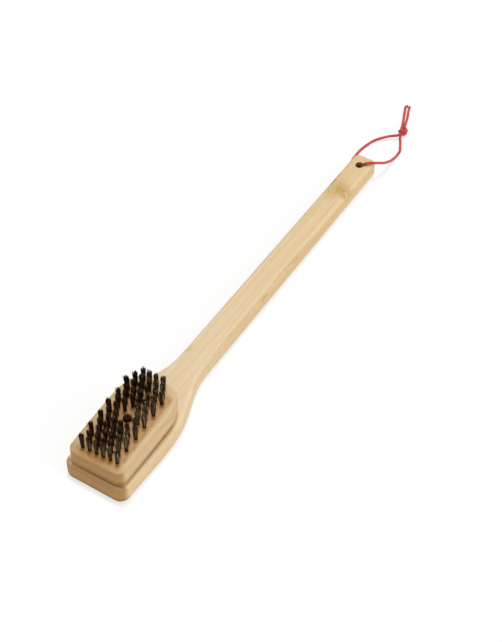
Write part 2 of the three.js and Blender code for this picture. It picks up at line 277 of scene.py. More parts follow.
class StageSizes(bpy.types.PropertyGroup):
    """Camera, lights and floor."""

    camera: place_property("Camera", "Where the camera stands", (-0.7256, -0.4707, 0.9773))
    aim: place_property("Aim", "Point at the middle of the picture", (-0.0162, -0.0191, 0.018))
    roll: angle_property("Roll", "Camera's turn about its own axis", -0.23)
    lens: number_property("Lens", "Focal length", 53.54, subtype="DISTANCE_CAMERA")
    key: number_property("Key", "Strength of the high light from the back left", 1.35)
    fill: number_property("Fill", "Strength of the low light from the right", 0.56)
    sky: number_property("Sky", "Strength of the soft light, more on the right", 0.62)
    floor_glow: share_property("Floor glow", "Share of the floor's white that shadows leave", 0.6)
    front_glow: share_property("Front glow", "The same share in front of the paddle", 0.82)


class BrushSettings(bpy.types.PropertyGroup):
    """All sizes and colours of the brush."""

    handle: PointerProperty(type=HandleSizes)
    head: PointerProperty(type=HeadSizes)
    tufts: PointerProperty(type=TuftSizes)
    cord: PointerProperty(type=CordSizes)
    colours: PointerProperty(type=FinishColours)
    stage: PointerProperty(type=StageSizes)


class Nodes:
    """Adds nodes to one node tree. An input is given as a value or as a socket to link."""

    def __init__(self, tree):
        self.tree = tree

    def join(self, value, socket):
        if isinstance(value, bpy.types.NodeSocket):
            self.tree.links.new(value, socket)
        else:
            socket.default_value = value

    def fill(self, node, inputs):
        for name, value in inputs.items():
            self.join(value, node.inputs[name])

    def add(self, kind, inputs=None, **settings):
        made = self.tree.nodes.new("ShaderNode" + kind)
        for name, value in settings.items():
            setattr(made, name, value)
        self.fill(made, inputs or {})
        return made

    def math(self, operation, first, second=0.0):
        return self.add("Math", {0: first, 1: second}, operation=operation).outputs[0]

    def times(self, first, second):
        return self.math("MULTIPLY", first, second)

    def vector(self, operation, first, second=(0, 0, 0)):
        made = self.add("VectorMath", {0: first, 1: second}, operation=operation)
        one_number = operation in ("LENGTH", "DISTANCE", "DOT_PRODUCT")
        return made.outputs["Value" if one_number else "Vector"]

    def axis(self, vector, name):
        return self.add("SeparateXYZ", {"Vector": vector}).outputs[name]

    def noise(self, place, scale, detail=3.0, roughness=0.55):
        spread = {"Vector": self.vector("MULTIPLY", place, scale), "Scale": 1.0}
        made = self.add("TexNoise", {**spread, "Detail": detail, "Roughness": roughness})
        return made.outputs["Fac"]

    def bump(self, height, strength):
        depth = 0.0002
        made = self.add("Bump", {"Strength": strength, "Distance": depth, "Height": height})
        return made.outputs["Normal"]

    def remap(self, value, low, high, to_low=0.0, to_high=1.0):
        ends = {"From Min": low, "From Max": high, "To Min": to_low, "To Max": to_high}
        made = self.add("MapRange", {"Value": value, **ends}, interpolation_type="SMOOTHSTEP")
        return made.outputs["Result"]

    def fade(self, value, start, stop):
        return self.remap(value, start, stop, 1.0, 0.0)

    def mix(self, factor, first, second, blend="MIX"):
        made = self.add("Mix", data_type="RGBA", blend_type=blend)
        for name, value in (("Factor_Float", factor), ("A_Color", first), ("B_Color", second)):
            self.join(value, next(s for s in made.inputs if s.identifier == name))
        return next(s for s in made.outputs if s.identifier == "Result_Color")


def rgba(colour):
    return (*colour, 1.0)


def new_material(name):
    """A material with its nodes, its Principled shader and Object coordinates."""
    material = bpy.data.materials.new(name)
    material.use_nodes = True
    nodes = Nodes(material.node_tree)
    shader = material.node_tree.nodes["Principled BSDF"]
    place = nodes.add("TexCoord").outputs["Object"]
    return material, nodes, shader, place


def new_group(name, inputs, outputs):
    """An empty node group with named sockets: its nodes, its inputs and its last node."""
    tree = bpy.data.node_groups.new(name, "ShaderNodeTree")
    for socket, kind in inputs:
        tree.interface.new_socket(socket, in_out="INPUT", socket_type="NodeSocket" + kind)
    for socket in outputs:
        tree.interface.new_socket(socket, in_out="OUTPUT", socket_type="NodeSocketFloat")
    start = tree.nodes.new("NodeGroupInput").outputs
    return Nodes(tree), start, tree.nodes.new("NodeGroupOutput")


def cane_group():
    """Cane grain along X: soft streaks, fibres and short dark flecks."""
    nodes, start, end = new_group(
        "cane_grain", [("Place", "Vector")], ["Fibre", "Fleck", "Height"]
    )
    place = start["Place"]
    broad = nodes.noise(place, (7.0, 260.0, 260.0))
    fine = nodes.noise(place, (30.0, 1700.0, 1700.0), 4.0, 0.65)
    fleck = nodes.noise(place, (130.0, 2900.0, 2900.0), 2.0)
    fibre = nodes.math("ADD", nodes.times(broad, 0.5), nodes.times(fine, 0.5))
    nodes.fill(end, {
        "Fibre": nodes.remap(fibre, 0.33, 0.67),
        "Fleck": nodes.remap(fleck, 0.58, 0.74),
        "Height": fine,
    })
    return nodes.tree


def mark_group():
    """A speckled patch round a centre, ragged along the grain."""
    nodes, start, end = new_group(
        "cane_mark",
        [("Place", "Vector"), ("Centre", "Vector"), ("Size", "Vector"), ("Ragged", "Float")],
        ["Mark"],
    )
    place, raggedness = start["Place"], start["Ragged"]
    away = nodes.vector("SUBTRACT", place, start["Centre"])
    reach = nodes.vector("LENGTH", nodes.vector("DIVIDE", away, start["Size"]))
    rag = nodes.noise(place, (260.0, 900.0, 900.0))
    ragged = nodes.math("ADD", reach, nodes.times(rag, raggedness))
    speckle = nodes.noise(place, (500.0, 900.0, 900.0), roughness=0.7)
    gaps = nodes.times(nodes.remap(speckle, 0.36, 0.62, 0.85, 0.0), raggedness)
    patch = nodes.fade(ragged, 0.75, 1.45)
    nodes.fill(end, {"Mark": nodes.times(patch, nodes.math("SUBTRACT", 1.0, gaps))})
    return nodes.tree


def beyond_box(nodes, vector, half):
    """How far a point lies outside a box round the origin, and 0 inside it."""
    beyond = nodes.vector("SUBTRACT", nodes.vector("ABSOLUTE", vector), half)
    return nodes.vector("LENGTH", nodes.vector("MAXIMUM", beyond))


def turned_back(nodes, place, centre, angle, origin):
    """A place turned back about an upright axis, measured from another point."""
    turn = {"Vector": place, "Center": (*centre, 0), "Angle": -angle}
    turned_place = nodes.add("VectorRotate", turn, rotation_type="Z_AXIS").outputs[0]
    return nodes.vector("SUBTRACT", turned_place, (*origin, 0))


class Bamboo:
    """An oiled bamboo finish: plain grain along X, and colours added to it one by one, real stains
    and painted shade alike.
    """

    def __init__(self, name, light, dark, streaks):
        self.material, self.nodes, self.shader, self.place = new_material(name)
        self.grain = self.group("cane_grain", cane_group).outputs
        self.colour = rgba(light)
        flecks = 0.22
        self.stain_and_shade(self.grain["Fibre"], dark, streaks)
        self.stain_and_shade(self.grain["Fleck"], dark, flecks, "MULTIPLY")

    def group(self, name, make, **inputs):
        """A node of a shared group that is given this finish's place."""
        tree = bpy.data.node_groups.get(name) or make()
        return self.nodes.add("Group", {"Place": self.place, **inputs}, node_tree=tree)

    # Mixes a colour in over a mask; callers use it for real stains and for painted shade.
    def stain_and_shade(self, mask, colour, strength=1.0, blend="MIX"):
        shade = self.nodes.times(mask, strength)
        self.colour = self.nodes.mix(shade, self.colour, rgba(colour), blend)

    def mark(self, centre, size, strength, ragged, colour):
        """A speckled patch."""
        mark = self.group("cane_mark", mark_group, Centre=centre, Size=size, Ragged=ragged)
        self.stain_and_shade(mark.outputs["Mark"], colour, strength)

    def yellow_along(self, start, stop, tint):
        """Tints the cane more and more between two places along X."""
        along = self.nodes.axis(self.place, "X")
        self.stain_and_shade(self.nodes.remap(along, start, stop), tint, blend="MULTIPLY")

    def brown_ends_with_shade(self, colour, upright, level):
        """Warms the faces that stand up, and browns the end grain, most at the brush's front: real
        end grain, with painted shade added on the front faces.

        A face is upright or level where its normal's height is below or above the given ones.
        """
        nodes = self.nodes
        normal = nodes.add("NewGeometry").outputs["Normal"]
        height = nodes.math("ABSOLUTE", nodes.axis(normal, "Z"))
        self.stain_and_shade(nodes.fade(height, 0.3, 0.85), WARM_TINT, blend="MULTIPLY")
        flat = nodes.vector("NORMALIZE", nodes.vector("MULTIPLY", normal, (1.0, 1.0, 0.0)))
        back = nodes.axis(flat, "X")
        front = nodes.times(back, -1.0)
        # Browner on the front faces than at the far end: painted shade on the front, which faces
        # away from the key light.
        cut_grain = nodes.math("MAXIMUM", front, nodes.math("SUBTRACT", back, 0.5))
        cut_grain = nodes.remap(cut_grain, 0.0, 0.6, 0.0, 0.93)
        self.ends = nodes.times(cut_grain, nodes.fade(height, upright, level))
        self.stain_and_shade(self.ends, colour)

    def glue_lines(self, axis, joints, colour, origin=0.0):
        """Wavy, broken lines on the end grain that brown_ends_with_shade found, placed from an origin."""
        nodes, wave_height = self.nodes, 0.001
        wave = nodes.noise(self.place, (60.0, 60.0, 60.0), 2.0)
        wave = nodes.times(wave, wave_height)
        layer = nodes.math("ADD", nodes.axis(self.place, axis), wave)
        broken = nodes.noise(self.place, (90.0, 90.0, 400.0), 2.0)
        broken = nodes.times(self.ends, nodes.remap(broken, 0.35, 0.65))
        for position, strength in joints:
            centre = origin + position + wave_height / 2
            away = nodes.math("ABSOLUTE", nodes.math("SUBTRACT", layer, centre))
            line = nodes.fade(away, 0.0001, 0.0009)
            self.stain_and_shade(nodes.times(line, broken), colour, strength)

    def shade_bed(self, settings, colour):
        """Paints shade on the paddle under the block's overhang, as far as the block's sides run
        straight.
        """
        head, nodes = settings.head, self.nodes
        centre, _, _ = tuft_field(settings)
        straight, widest = 0.39 * head.length, 1.03 * head.half
        middle = (block_front(head) + straight, head.offset)
        local = turned_back(nodes, self.place, centre, head.turn, middle)
        box = (straight - head.corner, widest - head.corner, ANY_HEIGHT)
        reach = beyond_box(nodes, local, box)
        mask = nodes.fade(reach, head.corner - 0.0004, head.corner + 0.0008)
        self.stain_and_shade(mask, colour, strength=0.45)

    def shade_among_tufts(self, settings, colour):
        """Paints shade on the wood among the tufts, most just in front of each of them."""
        nodes = self.nodes
        centre, row_pitch, column_pitch = tuft_field(settings)
        ahead, aside = 0.0018, 0.0012
        middle = (centre.x - ahead, centre.y - aside)
        local = turned_back(nodes, self.place, centre, settings.tufts.turn, middle)
        along, across = nodes.axis(local, "X"), nodes.axis(local, "Y")
        rows = nodes.math("COSINE", nodes.times(along, math.pi / row_pitch))
        columns = nodes.math("COSINE", nodes.times(across, math.tau / column_pitch))
        gaps = nodes.remap(nodes.times(rows, columns), -0.9, 0.3, 0.93, 0.57)
        half = ((ROW_COUNT - 2) / 2 * row_pitch, (FULL_ROW - 1) / 2 * column_pitch, ANY_HEIGHT)
        full_rows = nodes.vector("ADD", local, (row_pitch / 2, 0, 0))
        inside = nodes.fade(beyond_box(nodes, full_rows, half), 0.0015, 0.0074)
        self.stain_and_shade(nodes.times(gaps, inside), colour, strength=0.95)

    def finished(self):
        """The material, with its colour, sheen and relief joined to the shader."""
        nodes = self.nodes
        nodes.fill(self.shader, {
            "Base Color": self.colour,
            "Roughness": nodes.remap(self.grain["Fibre"], 0.0, 1.0, 0.42, 0.55),
            "Specular IOR Level": 0.25,
            "Normal": nodes.bump(self.grain["Height"], 0.25),
        })
        return self.material


def wire_material(colours):
    """Dark oiled wire. Each wire has its own tone, and it is browner at its foot."""
    material, nodes, shader, place = new_material("bristle_wire")
    tone = nodes.add("Attribute", attribute_name="wire_tone").outputs["Fac"]
    streak = nodes.noise(place, (900.0, 900.0, 170.0))
    grey = nodes.times(tone, nodes.remap(streak, 0.4, 0.64))
    colour = nodes.mix(grey, rgba(colours.wire_dark), rgba(colours.wire_grey))
    wood = BLOCK_HIGH.z
    foot = nodes.remap(nodes.axis(place, "Z"), wood + 0.0005, wood + 0.005, 0.85, 0.0)
    nodes.fill(shader, {
        "Base Color": nodes.mix(foot, colour, rgba(colours.wire_foot)),
        "Roughness": nodes.remap(streak, 0.2, 0.8, 0.38, 0.6),
        "Specular IOR Level": 0.07,
        "Specular Tint": (1.0, 0.75, 0.45, 1.0),
    })
    return material


def screw_material(colours, centre):
    """Blackened steel with a painted sheen: light specks, and a painted highlight in brown on the
    side towards the far end.
    """
    material, nodes, shader, place = new_material("screw_steel")
    cloud = nodes.noise(place, (900.0, 900.0, 900.0))
    away = nodes.vector("SUBTRACT", place, (*centre, 0))
    back = nodes.vector("DOT_PRODUCT", away, (0.84, 0.54, 0))
    # Lighter specks and a lighter far side: painted highlight.
    specks = nodes.remap(cloud, 0.45, 0.7, 0.0, 0.4)
    painted_sheen = nodes.math("MAXIMUM", nodes.remap(back, -0.0022, 0.003), specks)
    nodes.fill(shader, {
        "Base Color": nodes.mix(painted_sheen, rgba(colours.screw), rgba(colours.screw_sheen)),
        "Roughness": nodes.remap(cloud, 0.2, 0.8, 0.45, 0.6),
        "Specular IOR Level": 0.04,
    })
    return material


def cord_material(name, colours, length, painted_shading):
    """Braided cord: crossing yarns that follow the strand, with painted shade where it lies in the
    hang hole.
    """
    material, nodes, shader, place = new_material(name)
    yarns, braid_pitch = 4, 0.0034
    strand = nodes.add("TexCoord").outputs["UV"]
    around = nodes.times(nodes.axis(strand, "X"), yarns * math.tau)
    along = nodes.times(nodes.axis(strand, "Y"), length / braid_pitch * math.tau)
    left = nodes.math("SINE", nodes.math("ADD", around, along))
    right = nodes.math("SINE", nodes.math("SUBTRACT", around, along))
    yarn = nodes.remap(nodes.times(left, right), -0.5, 0.7)
    cloud = nodes.noise(place, (420.0, 420.0, 420.0))
    dark = rgba(0.45 * part for part in colours.cord)
    # Darker in the braid's hollows: painted shade.
    colour = nodes.mix(nodes.remap(yarn, 0.0, 1.0, 0.5, 0.0), rgba(colours.cord), dark)
    colour = nodes.mix(nodes.remap(cloud, 0.4, 0.8, 0.0, 0.3), colour, dark)
    # Painted shade on the cord in and by the hang hole.
    hole_shade = nodes.remap(nodes.vector("DISTANCE", place, painted_shading), 0.0055, 0.0105, 0.8, 0.0)
    nodes.fill(shader, {
        "Base Color": nodes.mix(hole_shade, colour, rgba(colours.cord_hole_shade)),
        "Roughness": 0.7,
        "Sheen Weight": 0.08,
        "Normal": nodes.bump(yarn, 0.5),
    })
    return material


def arc(centre, radius, start):
    """A quarter circle counter-clockwise from an angle given in quarter turns."""
    shares = [step / CORNER_STEPS for step in range(CORNER_STEPS + 1)]
    turns = [(start + share) * math.pi / 2 for share in shares]
    return [(centre[0] + radius * math.cos(a), centre[1] + radius * math.sin(a)) for a in turns]


def smooth_line(points, steps=CURVE_STEPS):
    """Points of a smooth line through the given ones.

    A stretch leaves each point along the chord of its neighbours, by a sixth of that chord.
    """
    knots = [Vector(point) for point in points]
    ends = [knots[0], *knots, knots[-1]]
    line = []
    for before, start, stop, after in zip(ends, ends[1:], ends[2:], ends[3:]):
        lead = start + (stop - before) / 6
        tail = stop - (after - start) / 6
        controls = [point.to_3d() for point in (start, lead, tail, stop)]
        line += interpolate_bezier(*controls, steps + 1)[:-1]
    return [*line, knots[-1].to_3d()]


def line_length(line):
    return sum((b - a).length for a, b in zip(line, line[1:]))


def handle_outline(sizes):
    """Outline of the handle, counter-clockwise from the paddle's right front corner."""
    front, end = HANDLE_LOW.x, HANDLE_HIGH.x
    side = [(front + sizes.front_corner, -sizes.paddle_half)]
    for along, share in PADDLE_SIDE:
        half = sizes.neck_half + share * (sizes.paddle_half - sizes.neck_half)
        side.append((front + along * sizes.paddle_length, -half))
    right = [(p.x, p.y) for p in smooth_line(side)]
    left = [(x, -y) for x, y in reversed(right)]
    end_x = end - sizes.end_corner
    end_y = sizes.end_half - sizes.end_corner
    front_x = front + sizes.front_corner
    front_y = sizes.paddle_half - sizes.front_corner
    return [
        *right,
        *arc((end_x, -end_y), sizes.end_corner, 3),
        *arc((end_x, end_y), sizes.end_corner, 0),
        *left,
        *arc((front_x, front_y), sizes.front_corner, 1)[1:],
        *arc((front_x, -front_y), sizes.front_corner, 2)[:-1],
    ]


def block_front(head):
    return HANDLE_LOW.x + head.front


def block_outline(sizes):
    """Outline of the head block, counter-clockwise from its right front corner."""
    front, length = block_front(sizes), sizes.length
    side = [(front + sizes.corner, -sizes.half)]
    side += [(front + along * length, -share * sizes.half) for along, share in BLOCK_SIDE]
    stations = [*side, (front + length, 0.0), *[(x, -y) for x, y in reversed(side)]]
    corner_y = sizes.half - sizes.corner
    return [
        *[(p.x, p.y) for p in smooth_line(stations)],
        *arc((front + sizes.corner, corner_y), sizes.corner, 1)[1:],
        *arc((front + sizes.corner, -corner_y), sizes.corner, 2)[:-1],
    ]


def board(outline, bottom, top, edge, foot, foot_steps=CURVE_STEPS):
    """A flat board with rounded edges, above by one radius and below by another."""
    bm = bmesh.new()
    face = bm.faces.new([bm.verts.new((x, y, bottom)) for x, y in outline])
    grown = bmesh.ops.extrude_face_region(bm, geom=[face])
    upper = [part for part in grown["geom"] if isinstance(part, bmesh.types.BMVert)]
    bmesh.ops.translate(bm, verts=upper, vec=(0, 0, top - bottom))
    bmesh.ops.recalc_face_normals(bm, faces=bm.faces)
    for height, radius, steps in ((top, edge, CURVE_STEPS), (bottom, foot, foot_steps)):
        level = [e for e in bm.edges if all(abs(v.co.z - height) < TOUCH for v in e.verts)]
        bmesh.ops.bevel(
            bm, geom=level, offset=radius, segments=steps, profile=0.5, affect="EDGES", material=-1
        )
    return bm


def turned(profile, centre, steps):
    """A body turned about an upright axis, from radius and height pairs that end on the axis."""
    bm = bmesh.new()
    verts = [bm.verts.new((centre[0] + radius, centre[1], height)) for radius, height in profile]
    edges = [bm.edges.new(pair) for pair in zip(verts, verts[1:])]
    bmesh.ops.spin(
        bm, geom=verts + edges, cent=(*centre, 0), axis=(0, 0, 1), angle=math.tau,
        steps=steps, use_merge=True,
    )
    bmesh.ops.remove_doubles(bm, verts=bm.verts, dist=TOUCH)
    bmesh.ops.recalc_face_normals(bm, faces=bm.faces)
    return bm


def as_mesh(bm, name):
    """A new mesh from a bmesh, which is freed."""
    mesh = bpy.data.meshes.new(name)
    bm.to_mesh(mesh)
    bm.free()
    return mesh


def new_object(name, data):
    """A new object in the scene."""
    made = bpy.data.objects.new(name, data)
    bpy.context.scene.collection.objects.link(made)
    return made


def as_object(bm, name):
    """A new object from a bmesh, which is freed."""
    return new_object(name, as_mesh(bm, name))


def cut(piece, bm):
    """Takes the shape of a bmesh away from a piece."""
    cutter = as_object(bm, "cutter")
    modifier = piece.modifiers.new("cut", "BOOLEAN")
    modifier.object = cutter
    modifier.solver = "EXACT"
    modifier.use_self = True
    evaluated = piece.evaluated_get(bpy.context.evaluated_depsgraph_get())
    whole = piece.data
    piece.data = bpy.data.meshes.new_from_object(evaluated)
    piece.data.name = piece.name
    piece.modifiers.clear()
    bpy.data.meshes.remove(whole)
    bpy.data.meshes.remove(cutter.data)


def finish(piece, material, slot, *nodes):
    """Smooth shading, a finish, and the solids that a piece stands for."""
    if piece.type == "MESH":
        piece.data.shade_smooth()
        piece.data.set_sharp_from_angle(angle=SHARP_EDGE)
    piece.data.materials.clear()
    piece.data.materials.append(material)
    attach(piece, "root")
    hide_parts(*nodes)


def even_normals(piece):
    """Lets large flat faces keep their own shading beside rounded edges."""
    modifier = piece.modifiers.new("even_normals", "WEIGHTED_NORMAL")
    modifier.keep_sharp = True


def hang_hole_centre(sizes):
    return (HANDLE_HIGH.x - sizes.hole_from_end, 0.0)


def tuft_field(settings):
    """Centre of the tufts, and the distances between their rows and columns."""
    tufts, head = settings.tufts, settings.head
    start = block_front(head) + tufts.front_margin
    stop = block_front(head) + head.length - tufts.back_margin
    centre = Vector(((start + stop) / 2, head.offset))
    column_pitch = 2 * (head.half - tufts.side_margin) / (FULL_ROW - 1)
    return centre, (stop - start) / (ROW_COUNT - 1), column_pitch


def tuft_places(settings):
    """Each tuft's run number, centre and wear. The screw splits the middle row into two runs."""
    centre, row_pitch, column_pitch = tuft_field(settings)
    middle = (ROW_COUNT - 1) // 2
    turn = Matrix.Rotation(settings.tufts.turn, 2)
    places = []
    for row in range(ROW_COUNT):
        count = OFFSET_ROW if row % 2 else FULL_ROW
        trim = (FULL_ROW - LAST_ROW) // 2 if row == ROW_COUNT - 1 else 0
        for column in range(trim, count - trim):
            if (row, column) not in UNDRILLED:
                across = ((count - 1) / 2 - column) * column_pitch
                past_screw = row > middle or (row == middle and across < 0)
                place = centre + turn @ Vector(((row - middle) * row_pitch, across))
                places.append((row + past_screw, place, (row, column) in FRAYED))
    return places


class AddHandle(bpy.types.Operator):
    """Add the bamboo handle with its paddle and hang hole"""

    bl_idname = "grill_brush.add_handle"
    bl_label = "Handle"

    def execute(self, context):
        settings = context.scene.grill_brush
        sizes = settings.handle
        top = HANDLE_HIGH.z
        bm = board(handle_outline(sizes), 0.0, top, sizes.edge, sizes.edge)
        piece = as_object(bm, "handle_board")
        cut(piece, self.hole(sizes, top))
        cut(piece, self.groove(settings))
        finish(piece, self.bamboo(settings, top), "bamboo", "handle")
        even_normals(piece)
        return {"FINISHED"}

    def bamboo(self, settings, top):
        """Finish with the nodes' marks, and painted shade: in the hang hole, along the front's
        bottom edge, on the front lip, in the crease and on the head's bed.
        """
        sizes, head, colours = settings.handle, settings.head, settings.colours
        bamboo = Bamboo("bamboo_handle", colours.bamboo_light, colours.bamboo_dark, streaks=0.5)
        bamboo.yellow_along(start=-0.1, stop=0.2, tint=colours.bamboo_aged)
        bamboo.brown_ends_with_shade(colours.bamboo_end_and_shade, upright=0.45, level=0.97)
        bamboo.glue_lines("Y", HANDLE_JOINTS, colours.dark_mark_and_shade)
        for centre, size, strength, stain_and_shade in CANE_MARKS:
            place = (*centre[:2], top - centre[2])
            bamboo.mark(place, size, strength, RAGGED, getattr(colours, stain_and_shade))
        # Painted shade inside the hang hole, down its walls.
        bore = 1.15 * sizes.hole_radius
        inside = (*hang_hole_centre(sizes), top / 3)
        toe_shade, lip = (HANDLE_LOW.x, 0, 0), (HANDLE_LOW.x, 0, top)
        bamboo.mark(inside, (bore, bore, 0.6 * top), 0.95, 0.0, colours.dark_mark_and_shade)
        # Painted shade: darker along the front's bottom edge, and browner on the front lip, which
        # lies in the block's shadow.
        bamboo.mark(toe_shade, (0.012, 0.06, 0.0075), 0.5, 0.3, colours.dark_mark_and_shade)
        bamboo.mark(lip, (0.008, 0.08, 0.012), 0.65, 0.2, colours.bamboo_end_and_shade)
        # Painted shade on the paddle round the block's foot.
        bamboo.shade_bed(settings, colours.bed_shade)
        # Painted shade in the crease at the block's front.
        crease_shade = (block_front(head) + 0.003, head.offset, top)
        bamboo.mark(crease_shade, (0.002, 0.029, 0.003), 0.4, 0.0, colours.dark_mark_and_shade)
        return bamboo.finished()

    def hole(self, sizes, top):
        """Cutter of the hang hole, flared at both rims."""
        rim, radius, steps = sizes.hole_rim, sizes.hole_radius, 4
        lower = [(0.0, -rim), (radius + rim, -rim)]
        for step in range(steps + 1):
            turn = step * math.pi / 2 / steps
            lower.append((radius + rim * (1 - math.sin(turn)), rim * (1 - math.cos(turn))))
        upper = [(r, top - z) for r, z in reversed(lower)]
        return turned(lower + upper, hang_hole_centre(sizes), steps=32)

    def groove(self, settings):
        """Cutter of the groove that the cord leaves by, under the far end."""
        length, slack, lift = 0.024, 0.001, 0.00025
        cord = settings.cord
        width = cord.diameter + slack
        start = Vector((*hang_hole_centre(settings.handle), lift))
        toward = Vector((*GROOVE_POINT[:2], 0)).normalized()
        turn = toward.to_track_quat("X", "Z").to_matrix().to_4x4()
        size = Matrix.Diagonal((length, width, width + 2 * cord.rest, 1))
        middle = Matrix.Translation(start + toward * length / 2)
        bm = bmesh.new()
        bmesh.ops.create_cube(bm, size=1.0, matrix=middle @ turn @ size)
        return bm


class AddHeadBlock(bpy.types.Operator):
    """Add the laminated head block with its drilled holes"""

    bl_idname = "grill_brush.add_head_block"
    bl_label = "Head Block"

    def execute(self, context):
        settings = context.scene.grill_brush
        head, low = settings.head, BLOCK_LOW.z
        bm = board(block_outline(head), low, BLOCK_HIGH.z, head.edge, head.foot, foot_steps=1)
        self.ease_foot(bm, head, low)
        centre, _, _ = tuft_field(settings)
        axis = Vector((centre.x, 0, 0))
        bmesh.ops.rotate(bm, verts=bm.verts, cent=axis, matrix=Matrix.Rotation(head.turn, 3, "Z"))
        bmesh.ops.translate(bm, verts=bm.verts, vec=(0, head.offset, 0))
        piece = as_object(bm, "head_block_wood")
        cut(piece, self.holes(settings, centre))
        finish(piece, self.bamboo(settings), "bamboo_block", "head_block")
        even_normals(piece)
        return {"FINISHED"}

    def holes(self, settings, centre):
        """Cutter of the holes for the tufts and the screw's shank."""
        tuft_sides, shank_sides, clearance = 12, 24, 0.0003
        tuft_radius, shank_radius = settings.tufts.hole_radius, settings.head.screw_shank
        holes = [(place, tuft_radius, tuft_sides) for _, place, _ in tuft_places(settings)]
        holes.append((centre, shank_radius + clearance, shank_sides))
        low, high = BLOCK_LOW.z, BLOCK_HIGH.z
        bm = bmesh.new()
        for place, radius, sides in holes:
            bmesh.ops.create_cone(
                bm, cap_ends=True, segments=sides, radius1=radius, radius2=radius,
                depth=2 * (high - low), matrix=Matrix.Translation((*place, (low + high) / 2)),
            )
        return bm

    def bamboo(self, settings):
        """Finish with glued layers, and painted shade on the front of its top and among the tufts.
        """
        head, colours = settings.head, settings.colours
        front, low, high = block_front(head), BLOCK_LOW.z, BLOCK_HIGH.z
        bamboo = Bamboo("bamboo_block", colours.block_light, colours.block_dark, streaks=0.7)
        bamboo.brown_ends_with_shade(colours.bamboo_end_and_shade, upright=0.05, level=0.5)
        bamboo.glue_lines("Z", BLOCK_JOINTS, colours.dark_mark_and_shade, low)
        edge = (front + 0.0035, head.offset, high)
        tuft_front_shade = (front + 0.0055, head.offset - 0.001, high)
        layer = (front, head.offset - 0.02, low + 0.005)
        # Painted shade on the top's front strip and just in front of the first tufts.
        bamboo.mark(edge, (0.0055, 0.034, 0.0035), 0.4, 0.3, colours.tuft_shade)
        bamboo.mark(tuft_front_shade, (0.005, 0.013, 0.0035), 0.5, 0.3, colours.dark_mark_and_shade)
        bamboo.mark(layer, (0.006, 0.05, 0.0024), 0.45, 0.2, colours.dark_mark_and_shade)
        bamboo.shade_among_tufts(settings, colours.tuft_shade)
        return bamboo.finished()

    def ease_foot(self, bm, head, low):
        """Makes the bevel under the block shallower towards its front and its back."""
        deepest, end, fall, least = 0.65, 0.92, 0.2, 0.1
        for edge in bm.edges:
            inner, outer = sorted(edge.verts, key=lambda vert: vert.co.z)
            if inner.co.z < low + TOUCH < outer.co.z:
                along = (outer.co.x - block_front(head)) / head.length
                before = head.foot_front + (1 - head.foot_front) * along / deepest
                share = max(least, min(before, 1.0, (end - along) / fall))
                inner.co.xy = outer.co.xy.lerp(inner.co.xy, share)
                outer.co.z = low + share * head.foot


class AddBristles(bpy.types.Operator):
    """Add the tufts of wire, one piece for each drawn row"""

    bl_idname = "grill_brush.add_bristles"
    bl_label = "Bristles"

    def execute(self, context):
        settings = context.scene.grill_brush
        chance = random.Random(settings.tufts.seed)
        material = wire_material(settings.colours)
        places = tuft_places(settings)
        wire = self.wire(settings.tufts.wire_radius)
        for run in sorted({run for run, _, _ in places}):
            bm = bmesh.new()
            tone = bm.verts.layers.float.new("wire_tone")
            for _, place, frayed in [found for found in places if found[0] == run]:
                self.add_tuft(bm, tone, wire, place, frayed, settings.tufts, chance)
            name = f"{run + 1:02d}"
            piece = as_object(bm, "bristles_row_" + name)
            finish(piece, material, "bristle_wire", "tuft_row_" + name)
        bpy.data.meshes.remove(wire)
        return {"FINISHED"}

    def wire(self, radius):
        """One closed wire of unit height, standing on the origin."""
        sides, lengths = 5, 3
        bm = bmesh.new()
        ring = bmesh.ops.create_circle(bm, cap_ends=True, segments=sides, radius=radius)
        edges = list({edge for vert in ring["verts"] for edge in vert.link_edges})
        for _ in range(lengths):
            grown = bmesh.ops.extrude_edge_only(bm, edges=edges)["geom"]
            verts = [part for part in grown if isinstance(part, bmesh.types.BMVert)]
            edges = [part for part in grown if isinstance(part, bmesh.types.BMEdge)]
            edges = [e for e in edges if e.verts[0] in verts and e.verts[1] in verts]
            bmesh.ops.translate(bm, verts=verts, vec=(0, 0, 1 / lengths))
        bmesh.ops.contextual_create(bm, geom=edges)
        bmesh.ops.recalc_face_normals(bm, faces=bm.faces)
        return as_mesh(bm, "wire")

    def add_tuft(self, bm, tone, wire, place, frayed, tufts, chance):
        """One tuft: wires spread evenly over the hole that fan out towards the tip.

        The tufts on the brush's right get greyer wires, a painted sheen from the light on that
        side.
        """
        bottom = BLOCK_HIGH.z - WIRE_SUNK
        lean = Vector((chance.gauss(0, TUFT_LEAN), chance.gauss(0, TUFT_LEAN)))
        width = chance.uniform(0.9, 1.15)
        strays, jitter, bow = 0.3 if frayed else 0.03, 0.4, 0.8
        # Painted sheen: more grey wires towards the brush's right.
        painted_shading = 0.6 - 30 * place.y
        golden = math.pi * (3 - math.sqrt(5))
        for index in range(tufts.wires):
            share = math.sqrt((index + 0.5) / tufts.wires)
            turn = index * golden + chance.uniform(-jitter, jitter)
            across = Vector((math.cos(turn), math.sin(turn)))
            foot = place + across * share * tufts.base_radius
            stray = 2.2 if chance.random() < strays else 1.0
            fan = (width * tufts.tip_radius - tufts.base_radius) * share * stray
            wander = Vector((chance.gauss(0, TIP_WANDER), chance.gauss(0, TIP_WANDER)))
            shift = across * fan + lean + wander * stray ** 2
            height = TUFT_HIGH.z - bottom - abs(chance.gauss(0, TIP_WEAR))
            before = len(bm.verts)
            bm.from_mesh(wire)
            bm.verts.ensure_lookup_table()
            shade = painted_shading * chance.random() ** 3
            for vert in bm.verts[before:]:
                part = vert.co.z
                vert[tone] = shade
                vert.co.xy += foot + shift * part ** bow
                vert.co.z = bottom + part * height


